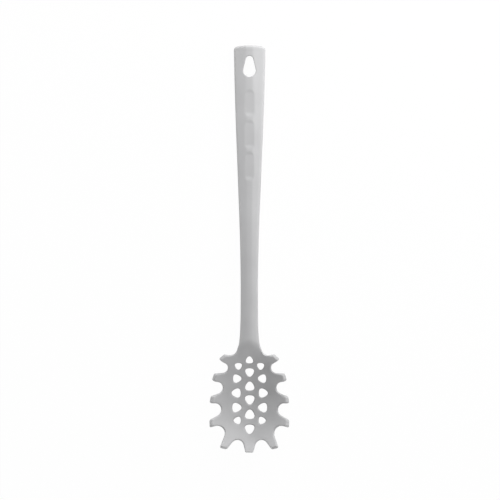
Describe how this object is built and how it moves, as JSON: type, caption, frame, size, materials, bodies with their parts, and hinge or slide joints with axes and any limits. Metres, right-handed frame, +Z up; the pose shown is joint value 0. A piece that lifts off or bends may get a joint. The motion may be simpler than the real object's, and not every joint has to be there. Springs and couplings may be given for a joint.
{
  "type": "pasta server",
  "caption": "Pasta server with a toothed, perforated bowl on a long tapering handle, a silicone skin moulded over a stiff nylon core, with a teardrop hanging hole.",
  "frame": {"origin": "on the worktop under the middle of the length, with the server lying on its back", "axes": "+X across the bowl to the right as seen from the front, +Y from the bowl to the hanging end of the handle, +Z up out of the bowl"},
  "size_m": [0.0658, 0.3298, 0.0244],
  "materials": {
    "silicone": "smooth matt pale grey silicone",
    "nylon": "moulded glass-filled nylon, hidden"
  },
  "bodies": {
    "root": {"silicone_skin": "silicone", "nylon_core": "nylon"}
  },
  "joints": []
}
